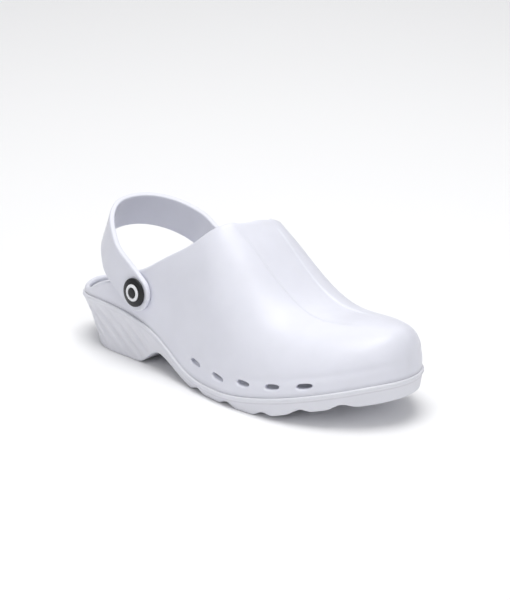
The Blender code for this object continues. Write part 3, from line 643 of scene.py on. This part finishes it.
def vent_rings(side, way, lift):
    """Rings of a vent's cutter from outside to inside, flared so that its mouth is rounded."""
    s = sizes()
    rise = rise_at(way, VENT_LIFT * lift)
    nudge = 0.004
    span = upper_surface(side, np.array([way - nudge, way + nudge]), rise, dressed=False)
    climb = upper_surface(side, [way] * 2, rise + np.array([-nudge, nudge]), dressed=False)
    per_way = np.linalg.norm(span[1] - span[0]) / (2 * nudge)
    per_rise = np.linalg.norm(climb[1] - climb[0]) / (2 * nudge)
    along = Vector(span[1] - span[0]).normalized()
    out = Vector((along.y, -along.x, 0.0)).normalized() * -side
    rows = [(0.004, VENT_MOUTH), (0.0002, VENT_MOUTH)]
    rows += [(-VENT_MOUTH * (1 - math.cos(a)), VENT_MOUTH * (1 - math.sin(a)))
             for a in np.radians([20, 40, 60, 80])]
    rows += [(-0.0016, 0.0), (-2.6 * s.wall, 0.0)]
    turns = [2 * math.pi * k / 32 for k in range(32)]
    oval = [[math.copysign(abs(f(a)) ** VENT_SQUARENESS, f(a)) for f in (math.cos, math.sin)]
            for a in turns]
    rings = []
    for height, grow in rows:
        ring = []
        for cos_a, sin_a in oval:
            u = (s.vent_length / 2 + grow) * cos_a
            v = (s.vent_height / 2 + grow) * sin_a
            face = upper_surface(side, [way + u / per_way], rise + v / per_rise, dressed=False)[0]
            ring.append(Vector(face) + out * height)
        rings.append(ring)
    return rings


def vent_cutter():
    """All vents' cutters as one mesh."""
    mesh = bmesh.new()
    for side in (OUTER, INNER):
        for way, lift in VENTS:
            verts = [[mesh.verts.new(p) for p in ring] for ring in vent_rings(side, way, lift)]
            mesh.faces.new(verts[0])
            mesh.faces.new(verts[-1][::-1])
            for low, high in zip(verts, verts[1:]):
                for i in range(len(low)):
                    mesh.faces.new((low[i - 1], low[i], high[i], high[i - 1]))
    bmesh.ops.recalc_face_normals(mesh, faces=mesh.faces)
    return mesh


def cut(piece, cutters):
    """Cut closed meshes out of the piece and drop them."""
    for mesh in cutters:
        data = bpy.data.meshes.new("cutter")
        mesh.to_mesh(data)
        mesh.free()
        cutter = bpy.data.objects.new("cutter", data)
        bpy.context.scene.collection.objects.link(cutter)
        modifier = piece.modifiers.new("cut", "BOOLEAN")
        modifier.operation = "DIFFERENCE"
        modifier.solver = "EXACT"
        modifier.object = cutter
        graph = bpy.context.evaluated_depsgraph_get()
        done = bpy.data.meshes.new_from_object(piece.evaluated_get(graph))
        piece.modifiers.clear()
        old = piece.data
        piece.data = done
        bpy.data.meshes.remove(old)
        bpy.data.objects.remove(cutter, do_unlink=True)
        bpy.data.meshes.remove(data)
    piece.data.shade_smooth()
    piece.data.set_sharp_from_angle(angle=math.radians(38))


class ClogUpper(bpy.types.Operator):
    """Build the hollow moulded upper with its round lip, sunk band, soft crease and vents"""
    bl_idname = "clog.upper"
    bl_label = "Upper"

    def execute(self, context):
        s = sizes()
        material = moulded_foam("upper foam", colours().upper, gloss=(0.36, 0.46), grain=0.00004,
                                shade="painted_crevice_shade", coat=0.08)
        mesh = bmesh.new()
        rises = upper_rises()
        for side in (OUTER, INNER):
            add_grid(mesh, half_upper(side, rises))
        weld(mesh)
        thicken(mesh, s.wall, lambda p: p.z < ledge_height(np.array([p.x]))[0] + 2 * GAP)
        weld(mesh)
        piece = finish_piece("clog_upper", mesh, material, ["upper"])
        bores = [Pivot(side).bore() for side in (OUTER, INNER)]
        cut(piece, [vent_cutter(), *bores])
        if len(piece.data.vertices) < 1000:
            raise RuntimeError("the upper came out empty")
        # painted shade: the upper darkens just above the ledge, where the crevice against the sole falls into
        # shade
        shade_layer(piece, "painted_crevice_shade", lambda p: 0.8 * (1 - ease(above_ledge(p), 0.0002, 0.0030)))
        to_world(piece)
        return {"FINISHED"}


# Sole

def underside_height(x):
    """Height of the sole's underside, with the grooves between its lugs."""
    s = sizes()
    arch, toe = underside_shares(x / s.length).T
    z = np.maximum(s.arch_rise * arch + s.toe_spring * toe, 0.0)
    for groove in GROOVES:
        near = np.clip(np.abs(x - groove * s.length) / GROOVE_HALF, 0.0, 1.0)
        z += s.lug_depth * np.cos(near * math.pi / 2) ** 2
    return z


def sole_side(side, way):
    """Rings of the sole's side at each way, underside first: array (way, ring, 3)."""
    s = sizes()
    bottom_round, proud = 0.0012, 0.0007
    top = side_lines()[side](way)
    high = ledge_height(top[:, 0])
    draw = HEEL_TAPER * draw_share(top[:, 0] / s.length)[:, 0]
    low = underside_height(edge(side, way, draw)[:, 0])
    rings = []
    for a in np.radians([0, 25, 50, 75]):
        rings.append((low + bottom_round * (1 - math.cos(a)), draw + bottom_round * (1 - math.sin(a))))
    below = high - BEAD
    for share in np.linspace(0, 1, 22):
        z = low + bottom_round + (below - low - bottom_round) * share
        phase = (top[:, 0] - (high - z) * FLUTE_LEAN) / FLUTE_PITCH
        fade = math.sin(share * math.pi) ** 0.8 * (1 - ease(top[:, 0] / s.length, *FLUTE_END))
        flute = s.flute_depth * fade * (0.5 + 0.5 * np.cos(phase * 2 * math.pi)) ** 1.6
        rings.append((z, draw * (1 - share) + proud * share + flute))
    ones = np.ones(len(way))
    for a in np.radians([20, 50, 80]):
        rings.append((below + proud * math.sin(a), proud * (1 - math.sin(a)) * ones))
    for a in np.radians([0, 30, 60, 90]):
        rings.append((high - proud * (1 - math.sin(a)), proud * (1 - math.cos(a)) * ones))
    return np.stack([np.column_stack([edge(side, way, inset), z]) for z, inset in rings], axis=1)


def across(left, right, steps):
    """Rows from left to right points: array (way, column, 3), and each column's share."""
    share = np.linspace(0, 1, steps + 1)
    return left[:, None, :] + (right - left)[:, None, :] * share[None, :, None], share


def seat_surface(way, inset, lift, steps):
    """Footbed seat from inset to inset, hollow under the heel, lifted by lift."""
    ends = [edge(side, way, inset) for side in (OUTER, INNER)]
    rows, share = across(*[np.column_stack([e, ledge_height(e[:, 0])]) for e in ends], steps)
    bowl = 1 - (2 * share - 1) ** 2
    heel = ease(way, *HEEL_SEAT_START) * (1 - ease(way, *HEEL_SEAT_FADE))
    rows[:, :, 2] += lift - SEAT_DEPTH - HEEL_HOLLOW * heel[:, None] * bowl[None, :]
    return rows


class ClogSole(bpy.types.Operator):
    """Build the sole and heel in one, with ledge, bead, flutes, arch, toe spring and lugs"""
    bl_idname = "clog.sole"
    bl_label = "Sole"

    def execute(self, context):
        s = sizes()
        material = moulded_foam("sole foam", colours().sole, gloss=(0.44, 0.56), grain=0.00006,
                                shade="painted_crevice_shade")
        way = np.unique(np.concatenate([np.linspace(0, 1, 420), np.linspace(0, 0.02, 12),
                                        np.linspace(0.98, 1, 12)]))
        mesh = bmesh.new()
        rings = {side: sole_side(side, way) for side in (OUTER, INNER)}
        columns = 24
        seat = seat_surface(way, s.ledge + s.wall + GAP, 0.0, columns)
        for side, column in ((OUTER, 0), (INNER, -1)):
            inner_ledge = seat[:, column].copy()
            inner_ledge[:, 2] = rings[side][:, -1, 2]
            skin = np.concatenate([rings[side], inner_ledge[:, None], seat[:, column][:, None]], axis=1)
            add_grid(mesh, skin)
        add_grid(mesh, seat)
        add_grid(mesh, across(rings[OUTER][:, 0], rings[INNER][:, 0], columns)[0])
        weld(mesh)
        piece = finish_piece("clog_sole", mesh, material, ["sole"], 50.0)
        # painted shade: a thin dark line just under the bead, where the crevice falls into shade
        under_bead = BEAD + 0.0004
        shade_layer(piece, "painted_crevice_shade",
                    lambda p: 0.55 * (1 - ease(np.abs(above_ledge(p) + under_bead), 0.0, 0.0009)))
        to_world(piece)
        return {"FINISHED"}


class ClogFootbed(bpy.types.Operator):
    """Build the loose footbed with its heel cup"""
    bl_idname = "clog.footbed"
    bl_label = "Footbed"

    def execute(self, context):
        s = sizes()
        material = footbed_foam("footbed foam", colours().footbed)
        way = np.linspace(0, 1, 150)
        edge_round, steps = 0.0008, 28
        clear = INSOLE_CLEAR + (INSOLE_TOE_CLEAR - INSOLE_CLEAR) * ease(way, *INSOLE_TOE_FADE)
        inset = s.ledge + s.wall + clear
        rows = [seat_surface(way, inset, GAP, steps)]
        for a in np.radians([0, 30, 60, 90]):
            lift = GAP + INSOLE_THICKNESS - edge_round * (1 - math.sin(a))
            rows.append(seat_surface(way, inset + edge_round * (1 - math.cos(a)), lift, steps))
        mesh = bmesh.new()
        add_grid(mesh, rows[0])
        add_grid(mesh, rows[-1])
        for column in (0, -1):
            add_grid(mesh, np.stack([r[:, column] for r in rows], axis=1))
        weld(mesh)
        to_world(finish_piece("clog_footbed", mesh, material, ["insole"], 60.0))
        return {"FINISHED"}


# Strap and buttons

class Pivot:
    """Where a button passes through the quarter: a point on the wall and its outward axis."""

    def __init__(self, side):
        way, lift = PIVOTS[side]
        rise = rise_at(way, lift)
        step = 0.01
        span = np.array([way - step, way + step])
        along = np.diff(upper_surface(side, span, rise, False), axis=0)[0]
        climb = np.diff(upper_surface(side, [way] * 2, rise + np.array([-step, step]), False), axis=0)[0]
        self.axis = Vector(np.cross(along, climb) * -side).normalized()
        self.point = Vector(upper_surface(side, [way], rise, False)[0])
        ways = np.linspace(way - 0.05, way + 0.05, 15)
        rises = np.linspace(0.02, 2 * rise, 15)
        around = upper_surface(side, ways[:, None], rises[None, :], False).reshape(-1, 3) - self.point
        height = around @ np.array(self.axis)
        off_axis = np.linalg.norm(around - np.outer(height, self.axis), axis=1)
        self.proud = float(height[off_axis < sizes().strap_width / 2 + GAP].max())
        self.sunk = float(height[off_axis < BUTTON_BACK_RADIUS + GAP].min())

    def plane_y(self, x, z, lift):
        """y of the plane across the axis, lift above the pivot point, at (x, z)."""
        n, p = self.axis, self.point
        return p.y + (lift - (x - p.x) * n.x - (z - p.z) * n.z) / n.y

    def turned(self, profile, steps=72):
        """Mesh turned round the axis from (radius, height) rows."""
        mesh = bmesh.new()
        turn = self.axis.to_track_quat("Z", "Y").to_matrix()
        rows = []
        for k in range(steps + 1):
            a = 2 * math.pi * k / steps
            rows.append([self.point + turn @ Vector((r * math.cos(a), r * math.sin(a), h))
                         for r, h in profile])
        add_grid(mesh, rows)
        weld(mesh)
        return mesh

    def bore(self):
        """Cutter for the button's shank."""
        hole = SHANK_RADIUS + GAP
        start, end = BORE_ENDS
        return self.turned([(0.0, start), (hole, start), (hole, end), (0.0, end)], 32)


class Arm:
    """One half of the strap, from its pivot to the middle of the back."""

    def __init__(self, half_span, shape, run):
        self.half_span = half_span
        self.rise, fullness, self.bulge, self.flat = shape
        self.power = 2 / fullness
        self.length = run / math.cos((self.rise + STRAP_BACK) / 2)

    def climb(self):
        """Height of the strap's back over the pivot."""
        return self.length * math.sin((self.rise + STRAP_BACK) / 2)

    def plan(self, angle):
        """Distance back along the arm, offset from the middle plane and outward direction."""
        c, s = max(math.cos(angle), 0.0), math.sin(angle)
        outward = Vector((c ** (2 - self.power) / self.half_span, s ** (2 - self.power) / self.length))
        aside = self.half_span * c ** self.power + self.bulge * math.sin(2 * angle)
        return self.length * s ** self.power, aside, outward.normalized()

    def side_view(self, distance):
        """How far back and up the arm's middle lies from its pivot, and its slope there."""
        slope = self.rise + (STRAP_BACK - self.rise) * max(distance, 0.0) / self.length
        mean = (self.rise + slope) / 2
        return distance * math.cos(mean), distance * math.sin(mean), slope


def strap_section():
    """Points round the strap's section: (sign across, share of the half width, inset, depth)."""
    s = sizes()
    corner = 0.0010
    rim = [(corner * (1 - math.sin(a)), corner * (1 - math.cos(a))) for a in np.radians([0, 22, 45, 67, 90])]
    rim += [(inset, s.strap_thickness - depth) for inset, depth in reversed(rim)]
    shares = (0.75, 0.5, 0.25, 0.0, -0.25, -0.5, -0.75)
    ring = [(1, 1.0, inset, depth) for inset, depth in rim]
    ring += [(1, share, corner, s.strap_thickness) for share in shares]
    ring += [(-1, 1.0, inset, depth) for inset, depth in reversed(rim)]
    ring += [(1, -share, corner, 0.0) for share in shares]
    return ring


def strap_rows(pivots):
    """Rows of points round the strap, from the outer arm's end by the back to the inner arm's."""
    s = sizes()
    outer, inner = pivots[OUTER].point, pivots[INNER].point
    middle_y = (outer.y + inner.y) / 2
    half_span = (inner.y - outer.y) / 2 + pivots[OUTER].proud + GAP
    run = STRAP_REACH * math.cos((STRAP_ARMS[OUTER][0] + STRAP_BACK) / 2)
    arms = {OUTER: Arm(half_span, STRAP_ARMS[OUTER], run),
            INNER: Arm(half_span, STRAP_ARMS[INNER], run + inner.x - outer.x)}
    lean = (inner.z + arms[INNER].climb() - outer.z - arms[OUTER].climb()) / (inner.y - outer.y)
    half = s.strap_width / 2
    ring = strap_section()
    ends = np.radians(np.concatenate([[90, 86], np.linspace(80, 6, 16)]))
    turns = np.radians(np.linspace(0, 90, 64))
    rows = [(OUTER, a, None) for a in ends] + [(OUTER, None, a) for a in turns]
    rows += [(INNER, None, a) for a in turns[-2::-1]] + [(INNER, a, None) for a in ends[::-1]]
    grid = []
    for side, end, turn in rows:
        arm, pivot = arms[side], pivots[side]
        line = []
        for sign, share, inset, depth in ring:
            across_at = sign * share * (half - inset)
            if end is None:
                reach, aside, outward = arm.plan(turn)
            else:
                aside, outward = half_span, Vector((1.0, 0.0))
                reach = -(half - inset) * math.sin(end)
                across_at *= math.cos(end)
            free = float(ease(reach / arm.length, *arm.flat))
            back, up, slope = arm.side_view(reach + outward.y * depth)
            loop_y = middle_y + side * (aside + outward.x * depth)
            x = pivot.point.x - back + across_at * math.sin(slope)
            z = pivot.point.z + up + across_at * math.cos(slope)
            flat_y = pivot.plane_y(x, z, pivot.proud + GAP + depth)
            z += lean * (loop_y - pivot.point.y)
            line.append((x, loop_y * free + flat_y * (1 - free), z))
        line.append(line[0])
        grid.append(line)
    return grid


class ClogStrap(bpy.types.Operator):
    """Build the heel strap: round flat ends on the buttons, then a loop round behind the heel"""
    bl_idname = "clog.strap"
    bl_label = "Heel strap"

    def execute(self, context):
        material = moulded_foam("strap foam", colours().strap, gloss=(0.34, 0.46), grain=0.00005, coat=0.08)
        pivots = {side: Pivot(side) for side in (OUTER, INNER)}
        mesh = bmesh.new()
        add_grid(mesh, strap_rows(pivots))
        weld(mesh)
        bmesh.ops.dissolve_degenerate(mesh, dist=1e-6, edges=mesh.edges)
        piece = finish_piece("clog_strap", mesh, material, ["heel_strap"], 60.0)
        cut(piece, [pivots[side].bore() for side in (OUTER, INNER)])
        if len(piece.data.vertices) < 500:
            raise RuntimeError("the strap came out empty")
        to_world(piece)
        return {"FINISHED"}


def rounded(corners, radius, steps=5):
    """Polyline through (radius, height, softness) corners, rounded by radius times softness."""
    out = []
    for i, (r, h, soft) in enumerate(corners):
        if not soft:
            out.append((r, h))
            continue
        here = Vector((r, h))
        before = Vector(corners[i - 1][:2]) - here
        after = Vector(corners[i + 1][:2]) - here
        size = min(radius * soft, before.length * 0.49, after.length * 0.49)
        a, b = here + before.normalized() * size, here + after.normalized() * size
        for k in range(steps + 1):
            t = k / steps
            p = a * (1 - t) ** 2 + here * 2 * t * (1 - t) + b * t * t
            out.append((p.x, p.y))
    return out


def button_profiles(pivot):
    """Profiles of a button's cap with its shank, of the ring in the cap and of the back."""
    s = sizes()
    cap_r, shank, back_r = s.cap_radius, SHANK_RADIUS, BUTTON_BACK_RADIUS
    rim_high, dome, back_thick = 0.0012, 0.0016, 0.0020
    ring_out, ring_in, ring_deep = 0.0056, 0.0036, 0.0009
    under = pivot.proud + GAP + s.strap_thickness + GAP
    rim = under + rim_high
    back = pivot.sunk - s.wall - GAP

    def face(radius):
        return rim + dome * (1 - (radius / cap_r) ** 2)

    low = face(ring_out) - ring_deep
    cap = [(0.0, back - back_thick, 0), (shank, back - back_thick, 1), (shank, under, 0),
           (cap_r, under, 0.6), (cap_r, rim, 1.6)]
    cap += [(r * cap_r, face(r * cap_r), 0) for r in (0.9, 0.82, 0.74, 0.66)]
    cap += [(ring_out + GAP, face(ring_out + GAP), 0.4), (ring_out + GAP, low, 0),
            (ring_in - GAP, low, 0), (ring_in - GAP, face(ring_in - GAP), 0.4)]
    cap += [(r * cap_r, face(r * cap_r), 0) for r in (0.24, 0.12)] + [(0.0, face(0.0), 0)]
    ring = [(ring_out, low + GAP, 0), (ring_out, face(ring_out) + 0.0001, 0.5),
            ((ring_out + ring_in) / 2, face((ring_out + ring_in) / 2) + 0.00035, 0),
            (ring_in, face(ring_in) + 0.0001, 0.5), (ring_in, low + GAP, 0), (ring_out, low + GAP, 0)]
    hole = shank + GAP
    disc = [(hole, back, 0), (back_r, back, 0.5), (back_r, back - back_thick / 2, 0.8),
            (back_r - back_thick / 2, back - back_thick, 0.8), (hole, back - back_thick, 0.5),
            (hole, back, 0)]
    return cap, ring, disc


class ClogButtons(bpy.types.Operator):
    """Build the two buttons, the rings set in their caps and the backs that hold them"""
    bl_idname = "clog.buttons"
    bl_label = "Buttons"

    def execute(self, context):
        black = gloss_plastic("button plastic", colours().button, 0.34)
        white = gloss_plastic("inlay plastic", colours().inlay, 0.30)
        for side, word in ((OUTER, "lateral"), (INNER, "medial")):
            pivot = Pivot(side)
            cap, ring, disc = button_profiles(pivot)
            for kind, profile, material, slot in (("button_", cap, black, "button_black"),
                                                  ("inlay_", ring, white, "inlay_white"),
                                                  ("button_back_", disc, black, "button_black")):
                mesh = pivot.turned(rounded(profile, BUTTON_CORNER))
                to_world(finish_piece("clog_" + kind + word, mesh, material, [kind + word], 50.0))
        return {"FINISHED"}


# Stage

def soft_light(name, place, target, size, power):
    """Rectangular white light at place that faces target."""
    data = bpy.data.lights.new(name, "AREA")
    data.shape = "RECTANGLE"
    data.size, data.size_y = size
    data.energy = power
    lamp = bpy.data.objects.new(name, data)
    lamp.location = place
    lamp.rotation_euler = (Vector(target) - Vector(place)).to_track_quat("-Z", "Y").to_euler()
    bpy.context.scene.collection.objects.link(lamp)


class ClogStage(bpy.types.Operator):
    """Set the pale floor, the soft lights and the camera at the photo's angle"""
    bl_idname = "clog.stage"
    bl_label = "Stage"

    def execute(self, context):
        scene = bpy.context.scene
        mesh = bmesh.new()
        bmesh.ops.create_grid(mesh, x_segments=2, y_segments=2, size=4.0)
        data = bpy.data.meshes.new("floor")
        mesh.to_mesh(data)
        mesh.free()
        floor = bpy.data.objects.new("floor", data)
        scene.collection.objects.link(floor)
        material, tree, shader = new_material("pale floor")
        coords = add_node(tree, "ShaderNodeTexCoord").outputs["Object"]
        patches = spread(tree, noise(tree, coords, 3.0), 0.0, 1.0)
        base = tinted(tree, (0.93, 0.93, 0.935), patches, (0.925, 0.925, 0.93))
        tree.links.new(base, shader.inputs["Base Color"])
        shader.inputs["Roughness"].default_value = 0.7
        shader.inputs["Specular IOR Level"].default_value = 0.2
        data.materials.append(material)

        world = bpy.data.worlds.new("soft room")
        world.use_nodes = True
        world.node_tree.nodes["Background"].inputs["Color"].default_value = (0.97, 0.975, 1.0, 1.0)
        world.node_tree.nodes["Background"].inputs["Strength"].default_value = 0.30
        scene.world = world
        scene.view_settings.view_transform = "Standard"
        target = (0.02, 0.0, 0.05)
        soft_light("overhead", (0.12, -0.10, 1.50), target, (1.0, 1.0), 16.5)
        soft_light("key", (1.15, -0.45, 0.95), target, (0.9, 0.9), 3.2)
        soft_light("outer side", (-0.20, -1.40, 0.90), target, (1.2, 0.9), 2.0)
        soft_light("far floor", (-0.90, 1.00, 1.30), (-0.90, 1.00, 0.0), (1.6, 1.6), 8.0)

        azimuth, elevation, distance = math.radians(42), math.radians(19), 1.8
        back = Vector((math.sin(azimuth) * math.cos(elevation), -math.cos(azimuth) * math.cos(elevation),
                       math.sin(elevation)))
        right = Vector((math.cos(azimuth), math.sin(azimuth), 0.0))
        up = back.cross(right)
        shift_right, shift_up = 0.0042, 0.00445
        aim = Vector((0.0030, 0.0035, 0.0450)) + right * shift_right + up * shift_up
        view = bpy.data.cameras.new("photo view")
        view.lens, view.sensor_width = 169.87, 36.0
        view.clip_start, view.clip_end = 0.05, 50.0
        camera = bpy.data.objects.new("photo view", view)
        camera.location = aim + back * distance
        camera.rotation_euler = (-back).to_track_quat("-Z", "Y").to_euler()
        scene.collection.objects.link(camera)
        scene.camera = camera
        return {"FINISHED"}


class ClogPanel(bpy.types.Panel):
    """Sidebar panel with the clog's pieces, sizes and colours"""
    bl_idname = "CLOG_PT_sidebar"
    bl_label = "Moulded clog"
    bl_space_type = "VIEW_3D"
    bl_region_type = "UI"
    bl_category = "Clog"

    def draw(self, context):
        for operator in OPERATORS:
            self.layout.operator(operator.bl_idname)
        for group in (context.scene.clog_sizes, context.scene.clog_colours):
            box = self.layout.box()
            for key in group.bl_rna.properties.keys():
                if key not in ("rna_type", "name"):
                    box.prop(group, key)


OPERATORS = (ClogUpper, ClogSole, ClogFootbed, ClogStrap, ClogButtons, ClogStage)
CLASSES = (ClogSizes, ClogColours, *OPERATORS, ClogPanel)


def register():
    """Add the classes and the scene's sizes and colours."""
    for kind in CLASSES:
        bpy.utils.register_class(kind)
    bpy.types.Scene.clog_sizes = PointerProperty(type=ClogSizes)
    bpy.types.Scene.clog_colours = PointerProperty(type=ClogColours)


def unregister():
    """Take away what register added."""
    del bpy.types.Scene.clog_colours
    del bpy.types.Scene.clog_sizes
    for kind in reversed(CLASSES):
        bpy.utils.unregister_class(kind)


def main():
    """Build every piece and the stage."""
    register()
    bpy.ops.clog.upper()
    bpy.ops.clog.sole()
    bpy.ops.clog.footbed()
    bpy.ops.clog.strap()
    bpy.ops.clog.buttons()
    bpy.ops.clog.stage()


if __name__ == "__main__":
    main()
